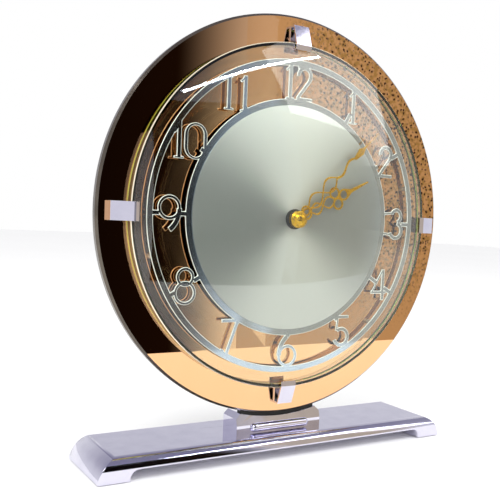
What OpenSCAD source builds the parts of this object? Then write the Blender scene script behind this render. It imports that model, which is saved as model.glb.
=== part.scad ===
// Mantel clock: a round mirror on a plated saddle and a long plated base. A pierced chapter ring,
// a spun dial and pierced hands stand under a domed glass, with a rear-wound movement in a drum.
// Millimetres, +Z up, the dial faces -Y. The origin is on the table, under the middle of the clock.

/* [Base] */
// Width of the base from left to right
base_w = 191; // [150:1:240]
// Depth of the base from front to back
base_depth = 40.6; // [32:0.1:60]
// Height of the base top above the table
base_h = 10.85; // [8:0.05:16]
// How far the base stands in front of the mirror
base_front = 12.3; // [8:0.1:20]
// Height of the upright lip at each end of the base
end_lip_h = 2.2; // [1:0.1:4]
// Length of the sloping end of the base
end_slope_l = 8.7; // [5:0.1:14]
// Radius of the rounded end slope
end_slope_r = 12; // [9:0.5:20]
// Radius of the rounded front edge
front_edge_r = 4.9; // [2:0.1:8]
// Radius of the rounded back edge
back_edge_r = 1; // [0.5:0.1:3]
// Length of each foot along the base
foot_l = 14.3; // [8:0.1:24]
// Clear height under the middle of the base
arch_h = 5.2; // [3:0.1:7]
// Radius at the inner top corner of each foot
arch_r = 4; // [1:0.1:6]
// Thickness of the felt strip under each foot
felt_t = 0.9; // [0.5:0.1:2]
// How deep each felt strip is let into its foot
felt_recess = 0.5; // [0.2:0.1:1]

/* [Saddle] */
// Length of the saddle block
saddle_l = 48; // [36:1:70]
// Depth of the saddle block, back from the mirror front
saddle_depth = 14; // [10:0.5:20]
// Size of the bevel on each upper end of the saddle
saddle_bevel = 2.4; // [1:0.1:4]
// How far the front of the saddle leans back at the top
saddle_lean = 2.2; // [0:0.1:3]
// Thickness of the rubber pad in the saddle
pad_t = 1.8; // [0.8:0.1:3]
// Length of the half-round bar on the saddle front
bar_l = 33; // [20:1:44]
// Height of the half-round bar
bar_h = 4.2; // [2:0.1:5]
// How far the half-round bar stands out
bar_out = 2.4; // [1:0.1:3]

/* [Mirror and glass] */
// Diameter of the mirror disc
mirror_d = 190; // [160:1:240]
// Thickness of the mirror disc
mirror_t = 4; // [3:0.5:6]
// Height of the saddle's cradle above the base top
saddle_h = 7.15; // [6:0.05:12]
// Width of the mirror's rim left clear outside the glass
mirror_rim = 13.5; // [12.5:0.5:20]
// Thickness of the domed glass
glass_t = 1.8; // [1.2:0.1:3]
// Gap between the minute hand's tip and the inside of the dome
hand_glass_gap = 0.575; // [0.4:0.025:2]
// Rise of the dome above its upright rim
glass_rise = 12.6; // [10:0.2:20]
// Radius of the centre hole in the mirror
centre_hole_r = 5; // [4.5:0.1:8]

/* [Clips] */
// Width of each clip
clip_w = 8.1; // [6:0.1:12]
// Thickness of the clip strip
clip_t = 0.8; // [0.5:0.1:1.2]
// Radial length of each clip outside the glass
clip_reach = 8.3; // [6:0.1:10]
// Height of the outer wall of each clip
clip_wall_h = 3.6; // [2:0.1:5]
// How far the clip bend rises above the glass edge
clip_crest_rise = 1.9; // [1.2:0.1:3]
// How far each clip laps over the glass
clip_lap = 3.3; // [2:0.1:5]
// Radius of the threaded clip stud
clip_stud_r = 1.5; // [1:0.1:2]

/* [Dial] */
// Gap between the chapter ring and the edge of the glass
ring_margin = 7.5; // [6:0.5:10]
// Radial width of the chapter ring
ring_w = 22.4; // [21:0.1:24]
// Width of each band of the chapter ring
band_w = 3; // [2:0.1:5]
// Width of the inner band that shows round the dial
inner_band_show = 3.1; // [2:0.1:5]
// Thickness of the chapter ring
ring_t = 0.8; // [0.5:0.1:1.5]
// Height of the chapter ring above the mirror
ring_lift = 2.6; // [1.5:0.1:4]
// How far each numeral laps over each band
numeral_lap = 0.5; // [0.3:0.1:1]
// Width of a numeral stroke
stroke = 1.8; // [1.2:0.1:2.6]
// How far the spun dial centre laps over the chapter ring
dial_lap = 1.3; // [0.8:0.1:1.6]
// Thickness of the spun dial centre
dial_t = 0.8; // [0.5:0.1:1.5]

/* [Hands] */
// Distance from the minute hand's tip to the outer edge of the chapter ring
minute_short = 10.5; // [5:0.5:20]
// Distance from the hour hand's tip to the edge of the dial centre
hour_short = 6.9; // [3:0.1:12]
// Thickness of each hand
hand_t = 0.5; // [0.3:0.1:1]
// Width of the wire pattern in the hands
hand_line = 0.9; // [0.6:0.1:1.4]
// Minutes past two shown by the hands
minutes_past = 7.6; // [0:0.1:59]

/* [Drum and movement] */
// Gap between the movement plates and the drum wall
drum_gap = 5; // [4:0.5:9]
// Room in the drum in front of the movement
drum_front_room = 5; // [4.5:0.5:8]
// Room in the drum behind the movement
drum_back_room = 4; // [3.5:0.5:8]
// Thickness of the drum sheet
drum_t = 0.8; // [0.6:0.1:1.5]
// Radius of the movement plates
plate_r = 31; // [29:0.5:40]
// Thickness of each movement plate
plate_t = 1.5; // [1:0.1:2.5]
// Gap between the movement plates
plate_gap = 17.5; // [17:0.5:24]
// Tooth size of the barrel wheel
barrel_module = 0.36; // [0.32:0.01:0.4]
// Radius of the winding arbor
winding_arbor_r = 2; // [1.5:0.1:3]
// Radius of the balance wheel
balance_r = 7.2; // [6:0.1:8]
// Running clearance of every arbor in its hole
running = 0.05; // [0.02:0.01:0.1]

/* [Hidden] */
$fn = 64;
fine_fn = 160;
dome_fn = 180;
eps = 0.01;

// Layers behind and in front of the mirror, measured forwards from the mirror's front face
gasket_t = 1;
backing_t = 1;
mirror_back = -mirror_t;
gasket_back = mirror_back - gasket_t;
backing_back = gasket_back - backing_t;
drum_depth = drum_front_room + plate_t + plate_gap + plate_t + drum_back_room;
drum_r = plate_r + drum_gap;
drum_back = backing_back - drum_depth;
front_plate_front = backing_back - drum_front_room;
front_plate_back = front_plate_front - plate_t;
back_plate_front = front_plate_back - plate_gap;
back_plate_back = back_plate_front - plate_t;
cover_t = 1;
cover_back = drum_back - cover_t;
knob_gap = 1.5;
knob_t = 6;
knob_r = 5;
knob_back = cover_back - knob_gap - knob_t;
key_stem_l = 4;
key_wing_h = 9;
key_back = cover_back - key_stem_l - key_wing_h;
mirror_r = mirror_d / 2;
dial_z = base_h + saddle_h + pad_t + mirror_r;
glass_r = mirror_r - mirror_rim;
glass_in_r = glass_r - glass_t;
dome_r = (glass_in_r * glass_in_r + glass_rise * glass_rise) / (2 * glass_rise);
ring_r = glass_r - ring_margin;
minute_l = ring_r - minute_short;
ring_back = ring_lift;
ring_front = ring_back + ring_t;
dial_back = ring_front;
dial_front = dial_back + dial_t;
tube_nut_t = 1.1;
tube_front = dial_front + tube_nut_t;
hour_collar_front = tube_front + 0.8;
hour_hand_back = hour_collar_front;
hour_hand_front = hour_hand_back + hand_t;
minute_collar_back = hour_hand_front + 0.15;
minute_hand_back = minute_collar_back + 0.45;
minute_hand_front = minute_hand_back + hand_t;
// Centre of the dome, placed so that the inside clears the minute hand's tip
dome_centre_w = minute_hand_front + hand_glass_gap
  - sqrt(dome_r * dome_r - minute_l * minute_l);
glass_rim_h = dome_centre_w + dome_r - glass_rise;
glass_front = dome_centre_w + dome_r + glass_t;
mirror_y = (glass_front + key_back) / 2;

// Base and saddle heights
base_bottom = felt_t - felt_recess;
saddle_cradle_r = mirror_r + pad_t;
saddle_rear_top = dial_z - saddle_cradle_r;
saddle_top = saddle_rear_top + 5;
stack_depth = -backing_back;
bracket_t = 1.5;
bracket_w = 20;
bracket_top = dial_z - drum_r - 8;
screw_r = 1.5;
screw_head_r = 3;
screw_head_t = 2;
base_screw_x = saddle_l / 2 - 9;

// Clips, glass edge and dial layers
clip_r_in = glass_r - clip_lap;
clip_r_out = glass_r + clip_reach;
clip_stud_at = clip_r_out - clip_reach / 2;
backing_r = mirror_r - 3;
nut_r = 3;
nut_t = 2.4;
washer_t = 0.5;
ring_bore_r = ring_r - ring_w;
dial_r = ring_bore_r + dial_lap;
hour_l = dial_r - hour_short;
inner_band_r = dial_r + inner_band_show;
numeral_r = (inner_band_r + ring_r - band_w) / 2;
numeral_h = ring_r - band_w - inner_band_r + 2 * numeral_lap;

// Centre stack: set shaft, cannon pipe, hour pipe and fixed tube, one inside the other
shaft_r = 0.9;
cannon_r = 1.6;
hour_pipe_bore_r = cannon_r + running;
hour_pipe_r = hour_pipe_bore_r + 0.65;
tube_bore_r = hour_pipe_r + 0.35;
tube_r = tube_bore_r + 0.85;
tube_nut_r = 4.75;
hand_nut_r = 4;
hand_nut_t = 4.2;
hand_nut_front = minute_hand_front + hand_nut_t;
minute_angle = minutes_past * 6;
hour_angle = 60 + minutes_past / 2;

// Movement: tooth counts and places, seen from the front with +Y up
barrel_teeth = 78;
inter_pinion_teeth = 12;
inter_wheel_teeth = 48;
centre_pinion_teeth = 12;
centre_wheel_teeth = 64;
fine_pinion_teeth = 8;
third_wheel_teeth = 60;
fourth_wheel_teeth = 64;
escape_teeth = 15;
minute_wheel_teeth = 36;
cannon_teeth = 12;
minute_pinion_teeth = 10;
hour_wheel_teeth = 40;
ratchet_teeth = 24;
inter_module = 0.36;
centre_module = 0.3;
third_module = 0.26;
fourth_module = 0.22;
cannon_module = 0.35;
arbor_r = 0.6;
pivot_r = 0.45;
centre_arbor_bore_r = shaft_r + running;
centre_arbor_r = centre_arbor_bore_r + 0.5;
centre_pivot_hole_r = centre_arbor_r + running;
barrel_tip_r = barrel_module * (barrel_teeth / 2 + 0.8);
barrel_at = [0, -(barrel_tip_r + centre_arbor_r - 0.1 + 0.4)];
barrel_inter = mesh_distance(barrel_teeth, inter_pinion_teeth, barrel_module);
inter_centre = mesh_distance(inter_wheel_teeth, centre_pinion_teeth, inter_module);
inter_y = (barrel_inter * barrel_inter - inter_centre * inter_centre
  - barrel_at[1] * barrel_at[1]) / (-2 * barrel_at[1]);
inter_at = [-sqrt(inter_centre * inter_centre - inter_y * inter_y), inter_y];
third_dir = 40;
fourth_dir = 130;
escape_dir = 170;
third_at = polar(mesh_distance(centre_wheel_teeth, fine_pinion_teeth, centre_module), third_dir);
fourth_at = third_at
  + polar(mesh_distance(third_wheel_teeth, fine_pinion_teeth, third_module), fourth_dir);
escape_at = fourth_at
  + polar(mesh_distance(fourth_wheel_teeth, fine_pinion_teeth, fourth_module), escape_dir);
escape_r = 4.4;
lever_dir = 200;
lever_centre = 6.9;
lever_at = escape_at + polar(lever_centre, lever_dir);
balance_dir = 215;
lever_l = 8.2;
balance_at = lever_at + polar(lever_l, balance_dir);
motion_dir = -20;
minute_wheel_at = polar(mesh_distance(minute_wheel_teeth, cannon_teeth, cannon_module), motion_dir);
hour_module = 2 * norm(minute_wheel_at) / (hour_wheel_teeth + minute_pinion_teeth);
barrel_dir = atan2(inter_at[1] - barrel_at[1], inter_at[0] - barrel_at[0]);
inter_dir = atan2(-inter_at[1], -inter_at[0]);

// Movement: levels, measured forwards from the mirror's front face
centre_level = front_plate_back - 1.7;
barrel_front = front_plate_back - 2.5;
barrel_teeth_t = 2;
barrel_t = 11.5;
third_level = front_plate_back - 4.5;
fourth_level = front_plate_back - 7;
escape_level = front_plate_back - 10;
lever_level = escape_level;
balance_level = front_plate_back - 13;
inter_level = back_plate_front + 1;
wheel_t = 0.8;
pillar_at = plate_r - 3.2;
pillar_r = 2.2;
post_at = plate_r - 3.8;
post_r = 2;
ratchet_r = 7.5;
ratchet_t = 1.4;
ratchet_first = 3;
ratchet_back = back_plate_back - 0.2 - ratchet_t;
click_at = barrel_at + [9.2, 5];
case_screw_at = drum_r - 3;

// Point at a radius and an angle
function polar(r, a) = [r * cos(a), r * sin(a)];

// Distance between the centres of two gears that mesh
function mesh_distance(n1, n2, m) = m * (n1 + n2) / 2;

// Outline of a gear with tapered teeth; share is the tooth's part of the pitch
function gear_points(n, m, share, first) = [
  for (i = [0 : n - 1])
    let (
      a = first + i * 360 / n,
      half = share * 180 / n,
      root_r = m * (n / 2 - 1.25),
      tip_r = m * (n / 2 + 0.8)
    )
    each [
      polar(root_r, a - half * 1.25),
      polar(tip_r, a - half * 0.5),
      polar(tip_r, a + half * 0.5),
      polar(root_r, a + half * 1.25)
    ]
];

// Outline of a strip that follows a sine wave along +Y
function wave_points(y0, y1, reach, wave_l, width) = [
  for (side = [1, -1])
    for (i = [0 : 24])
      let (
        t = side > 0 ? i / 24 : 1 - i / 24,
        y = y0 + (y1 - y0) * t
      )
      [reach * sin(360 * (y - y0) / wave_l) + side * width / 2, y]
];

// Outline of a flat spiral strip
function spiral_points(r0, r1, turns, width) = [
  for (side = [1, -1])
    for (i = [0 : turns * 18])
      let (t = side > 0 ? i : turns * 18 - i)
      polar(r0 + (r1 - r0) * t / (turns * 18) + side * width / 2, t * 20)
];

// Places what is drawn facing up so that it faces the front, w forwards of the mirror's face
module on_dial(w, at = [0, 0]) {
  translate([at[0], mirror_y, dial_z + at[1]])
    rotate([90, 0, 0])
      translate([0, 0, w])
        children();
}

// Moves to the plane of the mirror's front face, with +Y going back
module behind_mirror() {
  translate([0, mirror_y, 0])
    children();
}

// Flat ring on the dial between two levels
module washer(back, front, r_out, r_in, at = [0, 0]) {
  on_dial(back, at)
    difference() {
      cylinder(r = r_out, h = front - back);
      translate([0, 0, -1])
        cylinder(r = r_in, h = front - back + 2);
    }
}

// Round pin on the dial between two levels
module pin(back, front, r, at = [0, 0]) {
  on_dial(back, at)
    cylinder(r = r, h = front - back);
}

// Gear on the dial with its front face at a level
module gear(front, thick, n, m, share, first, bore, at) {
  on_dial(front - thick, at)
    linear_extrude(thick)
      difference() {
        polygon(gear_points(n, m, share, first));
        circle(r = bore);
      }
}

// Wheel gear with five rounded windows
module wheel(front, n, m, first, bore, at) {
  rim_r = m * (n / 2 - 1.25) - 0.9;
  hub_r = 2;
  window_r = (rim_r - hub_r) / 2 - 0.15;
  on_dial(front - wheel_t, at)
    linear_extrude(wheel_t)
      difference() {
        polygon(gear_points(n, m, wheel_share, first));
        circle(r = bore);
        for (i = [0 : 4])
          rotate(i * 72 + first)
            translate([(rim_r + hub_r) / 2, 0])
              circle(r = min(window_r, (rim_r + hub_r) / 2 * sin(36) - 0.4), $fn = 32);
      }
}

// Arbor with a pivot at each end that runs in the two plates
module arbor(at, r = arbor_r) {
  shoulder = 0.3;
  pin(back_plate_front + shoulder, front_plate_back - shoulder, r, at);
  pin(back_plate_back, front_plate_front, pivot_r, at);
}

wheel_share = 0.42;
leaf_share = 0.34;

// Outline of the base seen from the front
module base_outline() {
  chord = [end_slope_l, base_h - end_lip_h];
  half_chord = norm(chord) / 2;
  drop = sqrt(end_slope_r * end_slope_r - half_chord * half_chord);
  arc_x = base_w / 2 - end_slope_l / 2 - drop * chord[1] / norm(chord);
  arc_z = (base_h + end_lip_h) / 2 - drop * chord[0] / norm(chord);
  crease_x = base_w / 2 - end_slope_l;
  translate([-crease_x, base_bottom])
    square([2 * crease_x, base_h - base_bottom]);
  for (side = [0, 1])
    mirror([side, 0])
      intersection() {
        translate([arc_x, arc_z])
          circle(r = end_slope_r, $fn = fine_fn);
        translate([crease_x - eps, base_bottom])
          square([end_slope_l + eps, base_h - base_bottom]);
      }
}

// Opening under the middle of the base
module arch_outline() {
  flat_x = base_w / 2 - foot_l - arch_r;
  translate([-flat_x, -1])
    square([2 * flat_x, arch_h + 1]);
  for (side = [-1, 1])
    translate([side * flat_x, arch_h - arch_r]) {
      circle(r = arch_r);
      translate([-arch_r, -arch_h + arch_r - 1])
        square([2 * arch_r, arch_h - arch_r + 1]);
    }
}

// Side view of the base, with the rounded front and back edges; x is depth, y is height
module base_side() {
  square([base_depth, base_h - front_edge_r]);
  translate([front_edge_r, 0])
    square([base_depth - front_edge_r - back_edge_r, base_h]);
  translate([front_edge_r, base_h - front_edge_r])
    circle(r = front_edge_r);
  translate([base_depth - 2 * back_edge_r, 0])
    square([2 * back_edge_r, base_h - back_edge_r]);
  translate([base_depth - back_edge_r, base_h - back_edge_r])
    circle(r = back_edge_r);
}

module base() {
  color("silver")
    behind_mirror()
      difference() {
        intersection() {
          translate([0, base_depth - base_front, 0])
            rotate([90, 0, 0])
              linear_extrude(base_depth)
                difference() {
                  base_outline();
                  arch_outline();
                }
          translate([-base_w / 2 - 1, -base_front, 0])
            rotate([90, 0, 90])
              linear_extrude(base_w + 2)
                base_side();
        }
        felt_strips(felt_t, 0);
        for (side = [-1, 1])
          translate([side * base_screw_x, saddle_depth / 2, 0])
            cylinder(r = screw_r, h = base_h + 1);
      }
}

// Two strips, one under each foot
module felt_strips(height, gap) {
  inset = 2.5;
  for (side = [-1, 1])
    translate([side * (base_w / 2 - foot_l / 2), base_depth / 2 - base_front, height / 2])
      cube([foot_l - 2 * inset - gap, base_depth - 3 * inset - gap, height], center = true);
}

module foot_felts() {
  color("dimgray")
    behind_mirror()
      felt_strips(felt_t, 0);
}

// Outline of the saddle seen from the front, before the mirror's cradle is cut
module saddle_outline() {
  half = saddle_l / 2;
  polygon([
    [-half, base_h],
    [half, base_h],
    [half, saddle_end_top - saddle_bevel],
    [half - saddle_bevel, saddle_end_top],
    [-half + saddle_bevel, saddle_end_top],
    [-half, saddle_end_top - saddle_bevel]
  ]);
}

saddle_end_x = saddle_l / 2 - saddle_bevel;
saddle_end_top = dial_z - sqrt(saddle_cradle_r * saddle_cradle_r - saddle_end_x * saddle_end_x);

module saddle() {
  color("silver")
    behind_mirror()
      difference() {
        translate([0, saddle_depth, 0])
          rotate([90, 0, 0])
            linear_extrude(saddle_depth)
              difference() {
                saddle_outline();
                translate([0, dial_z])
                  circle(r = saddle_cradle_r, $fn = fine_fn * 2);
              }
        saddle_front_cut();
        saddle_rear_step();
        for (side = [-1, 1])
          translate([side * base_screw_x, saddle_depth / 2, base_h - 1])
            cylinder(r = screw_r, h = saddle_screw_reach + 1);
        for (side = [-1, 1])
          translate([side * bracket_screw_x, bracket_screw_y, saddle_step_z - bracket_screw_l])
            cylinder(r = screw_r, h = bracket_screw_l + 5);
      }
}

saddle_screw_reach = 4.5;
saddle_step_z = saddle_rear_top - 0.6;
bracket_screw_x = bracket_w / 2 - 4;
bracket_screw_l = 4;
bracket_screw_y = stack_depth + bracket_t + 3.4;

// Wedge that leans the upper front of the saddle back
module saddle_front_cut() {
  lean_h = saddle_top - base_h - 4;
  translate([-saddle_l / 2 - 1, 0, 0])
    rotate([90, 0, 90])
      linear_extrude(saddle_l + 2)
        polygon([
          [-1, base_h + 4],
          [0, base_h + 4],
          [saddle_lean, base_h + 4 + lean_h],
          [-1, base_h + 4 + lean_h]
        ]);
}

// Flat step behind the mirror where the bracket foot stands
module saddle_rear_step() {
  translate([-bracket_w / 2 - 0.5, stack_depth, saddle_step_z])
    cube([bracket_w + 1, saddle_depth, 20]);
}

module saddle_pad() {
  pad_end = 0.8;
  color("black")
    behind_mirror()
      intersection() {
        translate([0, stack_depth, 0])
          rotate([90, 0, 0])
            linear_extrude(stack_depth - saddle_lean)
              difference() {
                circle_at_dial(saddle_cradle_r);
                circle_at_dial(mirror_r);
              }
        translate([-saddle_end_x + pad_end, -1, saddle_rear_top - 1])
          cube([2 * (saddle_end_x - pad_end), stack_depth + 2, 8]);
      }
}

module circle_at_dial(r) {
  translate([0, dial_z])
    circle(r = r, $fn = fine_fn * 2);
}

bar_z = base_h + 0.5 + bar_h / 2;

module saddle_bar() {
  end_r = bar_h / 2;
  color("silver")
    behind_mirror()
      intersection() {
        translate([0, 0, bar_z]) {
          rotate([0, 90, 0])
            cylinder(r = end_r, h = bar_l - bar_h, center = true);
          for (side = [-1, 1])
            translate([side * (bar_l - bar_h) / 2, 0, 0])
              sphere(r = end_r);
        }
        translate([-bar_l, -bar_out, base_h])
          cube([2 * bar_l, bar_out, 10]);
      }
}

module base_screws() {
  color("gray")
    behind_mirror()
      for (side = [-1, 1])
        translate([side * base_screw_x, saddle_depth / 2, 0])
          difference() {
            union() {
              translate([0, 0, arch_h - screw_head_t])
                cylinder(r = screw_head_r, h = screw_head_t);
              translate([0, 0, arch_h - eps])
                cylinder(r = screw_r, h = base_h - arch_h + saddle_screw_reach);
            }
            translate([-screw_head_r, -0.4, arch_h - screw_head_t - 1])
              cube([2 * screw_head_r, 0.8, 1.8]);
          }
}

bracket_hole_z = [0.5, 0.88];

// Place of a bracket-to-plate screw as a share of the bracket's height
function bracket_screw_z(i) = saddle_step_z + bracket_hole_z[i] * (bracket_top - saddle_step_z);

module rear_bracket() {
  color("dimgray")
    behind_mirror()
      difference() {
        union() {
          translate([-bracket_w / 2, stack_depth, saddle_step_z])
            cube([bracket_w, bracket_t, bracket_top - saddle_step_z]);
          translate([-bracket_w / 2, stack_depth, saddle_step_z])
            cube([bracket_w, saddle_depth - stack_depth, bracket_t]);
        }
        for (side = [-1, 1])
          translate([side * bracket_screw_x, bracket_screw_y, saddle_step_z - 1])
            cylinder(r = screw_r, h = bracket_t + 2);
        for (i = [0, 1])
          translate([0, stack_depth - 1, bracket_screw_z(i)])
            rotate([-90, 0, 0])
              cylinder(r = screw_r, h = bracket_t + 2);
        translate([0, stack_depth - 1, dial_z - clip_stud_at])
          rotate([-90, 0, 0])
            cylinder(r = nut_r + 1.6, h = bracket_t + 2);
      }
}

// Pan head with a slot, shank pointing down from the head's underside
module slotted_screw(head_r, head_t, shank_r, shank_l) {
  slot_w = head_r * 0.27;
  difference() {
    cylinder(r = head_r, h = head_t);
    translate([-head_r - 1, -slot_w / 2, head_t * 0.5])
      cube([2 * head_r + 2, slot_w, head_t]);
  }
  translate([0, 0, -shank_l])
    cylinder(r = shank_r, h = shank_l + eps);
}

module bracket_screws() {
  head_r = 2.4;
  head_t = 1.4;
  color("gray")
    behind_mirror() {
      for (side = [-1, 1])
        translate([side * bracket_screw_x, bracket_screw_y, saddle_step_z + bracket_t])
          slotted_screw(head_r, head_t, screw_r, bracket_t + bracket_screw_l);
      for (i = [0, 1])
        translate([0, stack_depth + bracket_t, bracket_screw_z(i)])
          rotate([-90, 0, 0])
            slotted_screw(head_r, head_t, screw_r, bracket_t + backing_t);
    }
}

// Holes for the four clip studs
module clip_holes(r) {
  for (i = [0 : 3])
    rotate(i * 90)
      translate([clip_stud_at, 0, -1])
        cylinder(r = r, h = mirror_t + 2);
}

module mirror_disc() {
  color("peachpuff")
    on_dial(mirror_back)
      difference() {
        cylinder(r = mirror_r, h = mirror_t, $fn = fine_fn * 2);
        translate([0, 0, -1])
          cylinder(r = centre_hole_r, h = mirror_t + 2);
        clip_holes(clip_stud_r + 0.5);
      }
}

// Round sheet with a centre hole and the clip stud holes
module drilled_sheet(back, front, hole_r, stud_hole_r) {
  on_dial(back)
    difference() {
      cylinder(r = backing_r, h = front - back, $fn = fine_fn * 2);
      translate([0, 0, -1])
        cylinder(r = hole_r, h = front - back + 2);
      clip_holes(stud_hole_r);
      for (i = [0, 1])
        translate([0, bracket_screw_z(i) - dial_z, -1])
          cylinder(r = screw_r, h = front - back + 2);
      for (i = [0 : 2])
        rotate(case_screw_dir + i * 120)
          translate([case_screw_at, 0, -1])
            cylinder(r = case_screw_r, h = front - back + 2);
    }
}

case_screw_dir = 90;
case_screw_r = 1.2;

module felt_gasket() {
  color("darkolivegreen")
    drilled_sheet(gasket_back, mirror_back, centre_hole_r, clip_stud_r + 0.5);
}

module backing_plate() {
  color("dimgray")
    drilled_sheet(backing_back, gasket_back, centre_hole_r, clip_stud_r);
}

// Side view of a clip strip; x is the distance from the dial centre, y is forwards
module clip_outline() {
  lip_y = glass_surface(clip_r_in) + 0.03;
  crest_x = glass_r - 0.9;
  crest_y = glass_surface(glass_r) + clip_crest_rise;
  polygon([
    [glass_r + 0.9, 0],
    [clip_r_out, 0],
    [clip_r_out, clip_wall_h],
    [crest_x, crest_y],
    [crest_x - 0.9, crest_y - 0.1],
    [clip_r_in, lip_y + 0.4],
    [clip_r_in + 0.25, lip_y],
    [crest_x - 0.2, crest_y - clip_t - 0.1],
    [clip_r_out - clip_t, clip_wall_h - 0.6 * clip_t],
    [clip_r_out - clip_t, clip_t],
    [glass_r + 0.9, clip_t]
  ]);
}

// Height of the outer surface of the domed glass at a radius
function glass_surface(r) = dome_centre_w + sqrt(pow(dome_r + glass_t, 2) - r * r);

module glass_clips() {
  stud_back = backing_back - washer_t - nut_t - 0.8;
  color("silver")
    on_dial(0)
      for (i = [0 : 3])
        rotate(i * 90) {
          translate([0, clip_w / 2, 0])
            rotate([90, 0, 0])
              linear_extrude(clip_w)
                clip_outline();
          translate([clip_stud_at, 0, stud_back])
            cylinder(r = clip_stud_r, h = clip_t / 2 - stud_back);
        }
}

module clip_nuts() {
  color("gray")
    on_dial(0)
      for (i = [0 : 3])
        rotate(i * 90)
          translate([clip_stud_at, 0, backing_back - washer_t - nut_t])
            difference() {
              union() {
                cylinder(r = nut_r, h = nut_t, $fn = 6);
                translate([0, 0, nut_t - eps])
                  cylinder(r = nut_r + 0.6, h = washer_t + eps);
              }
              translate([0, 0, -1])
                cylinder(r = clip_stud_r, h = nut_t + washer_t + 2);
            }
}

module domed_glass() {
  color("azure", 0.3)
    on_dial(0)
      difference() {
        intersection() {
          cylinder(r = glass_r, h = glass_front + 1, $fn = fine_fn * 2);
          translate([0, 0, dome_centre_w])
            sphere(r = dome_r + glass_t, $fn = dome_fn);
        }
        intersection() {
          translate([0, 0, -1])
            cylinder(r = glass_in_r, h = glass_front + 1, $fn = fine_fn * 2);
          translate([0, 0, dome_centre_w])
            sphere(r = dome_r, $fn = dome_fn);
        }
      }
}

// Ring with straight sides, like a tall zero
module tall_ring(w, h, line) {
  difference() {
    tall_disc(w, h);
    tall_disc(w - 2 * line, h - 1.4 * line);
  }
}

module tall_disc(w, h) {
  square([w, h - w], center = true);
  for (side = [-1, 1])
    translate([0, side * (h - w) / 2])
      circle(r = w / 2);
}

// Part of a round ring between two angles
module arc_line(r, line, from, to) {
  steps = 12;
  difference() {
    polygon([
      for (i = [0 : steps])
        polar(r * 1.06, from + (to - from) * i / steps),
      for (i = [steps : -1 : 0])
        polar((r - line) * 0.8, from + (to - from) * i / steps)
    ]);
    circle(r = r - line);
  }
}

// Straight stroke between two points
module bar_line(a, b, line) {
  along = (b - a) / norm(b - a);
  side = [-along[1], along[0]] * line / 2;
  polygon([a - side, b - side, b + side, a + side]);
}

module digit(d) {
  h = numeral_h;
  top = h / 2;
  if (d == 0)
    tall_ring(11, h, stroke);
  if (d == 1) {
    square([stroke + 0.3, h], center = true);
    translate([0, -top + 0.5])
      square([stroke + 3, 1], center = true);
    bar_line([-2.4, top - 3], [0, top - 0.7], 1.2);
  }
  if (d == 2) {
    translate([0, top - 4.2])
      arc_line(4.2, stroke, -40, 190);
    bar_line([3.1, top - 6], [-3.6, -top + 1], stroke);
    translate([0.2, -top + 0.8])
      square([8.8, 1.6], center = true);
  }
  if (d == 3) {
    translate([0, top - 3.9])
      arc_line(3.9, stroke, -75, 165);
    translate([0, -top + 4.6])
      arc_line(4.6, stroke, -165, 80);
    for (side = [-1, 1])
      bar_line([-8.2, side * 5], [-2.8, side * 5.6], 1.3);
  }
  if (d == 4) {
    translate([2, 0])
      square([stroke + 0.2, h], center = true);
    bar_line([1.6, top - 0.4], [-4.9, -top + 4.2], 1.3);
    translate([-0.6, -top + 4.2])
      square([10, 1.5], center = true);
  }
  if (d == 5) {
    translate([0.6, top - 0.8])
      square([7.4, 1.6], center = true);
    bar_line([-2.5, top - 1], [-3, 0.2], 1.3);
    translate([0, -top + 4.9])
      arc_line(4.9, stroke, -160, 130);
  }
  if (d == 6)
    six_shape();
  if (d == 7) {
    translate([0, top - 0.8])
      square([9, 1.6], center = true);
    bar_line([3.9, top - 0.9], [-1.4, -top], stroke);
  }
  if (d == 8) {
    translate([0, top - 4])
      round_ring(4.4, stroke - 0.3);
    translate([0, -top + 4.9])
      round_ring(5.4, stroke - 0.3);
  }
  if (d == 9)
    rotate(180)
      six_shape();
}

module round_ring(r, line) {
  difference() {
    circle(r = r);
    circle(r = r - line);
  }
}

module six_shape() {
  bowl_r = 5.5;
  translate([0, -numeral_h / 2 + bowl_r])
    round_ring(bowl_r, stroke - 0.2);
  translate([numeral_h / 2 - 1.2, -numeral_h / 2 + bowl_r + 0.6])
    arc_line(numeral_h / 2 + 4, stroke, 128, 182);
}

// Hour number drawn upright, its digits side by side
module hour_number(n) {
  if (n < 10)
    digit(n);
  else {
    translate([-4.9, 0])
      digit(1);
    translate([n == 11 ? 3.2 : 2.9, 0])
      digit(n - 10);
  }
}

module chapter_ring() {
  band_end = ring_r - band_w;
  tab_w = 2.2;
  color("silver")
    on_dial(ring_back)
      linear_extrude(ring_t)
        difference() {
          union() {
            difference() {
              circle(r = ring_r, $fn = fine_fn);
              circle(r = band_end, $fn = fine_fn);
            }
            circle(r = inner_band_r, $fn = fine_fn);
            intersection() {
              circle(r = ring_r - 0.5, $fn = fine_fn);
              for (n = [1 : 12])
                translate(polar(numeral_r, 90 - 30 * n) + numeral_shift[n - 1])
                  hour_number(n);
            }
            for (n = [1 : 12])
              rotate(90 - 30 * n)
                ring_tabs(n, band_end, tab_w);
          }
          circle(r = ring_bore_r, $fn = fine_fn);
        }
}

// Short bridges that join a numeral to both bands along the radius
module ring_tabs(n, band_end, tab_w) {
  reach_in = tab_reach[n - 1][0];
  reach_out = tab_reach[n - 1][1];
  translate([inner_band_r - 0.5, -tab_w / 2])
    square([reach_in + 0.5, tab_w]);
  translate([band_end - reach_out, -tab_w / 2])
    square([reach_out + 0.5, tab_w]);
}

// How far each bridge reaches in from the inner band and the outer band, by hour
tab_reach = [[4.8, 0], [1, 4.5], [0, 4], [5.2, 4.5], [1.4, 0.6], [1, 1], [1, 0.5], [3, 2],
  [3, 3], [1.2, 0.5], [1.8, 0.5], [1, 1]];

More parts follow.
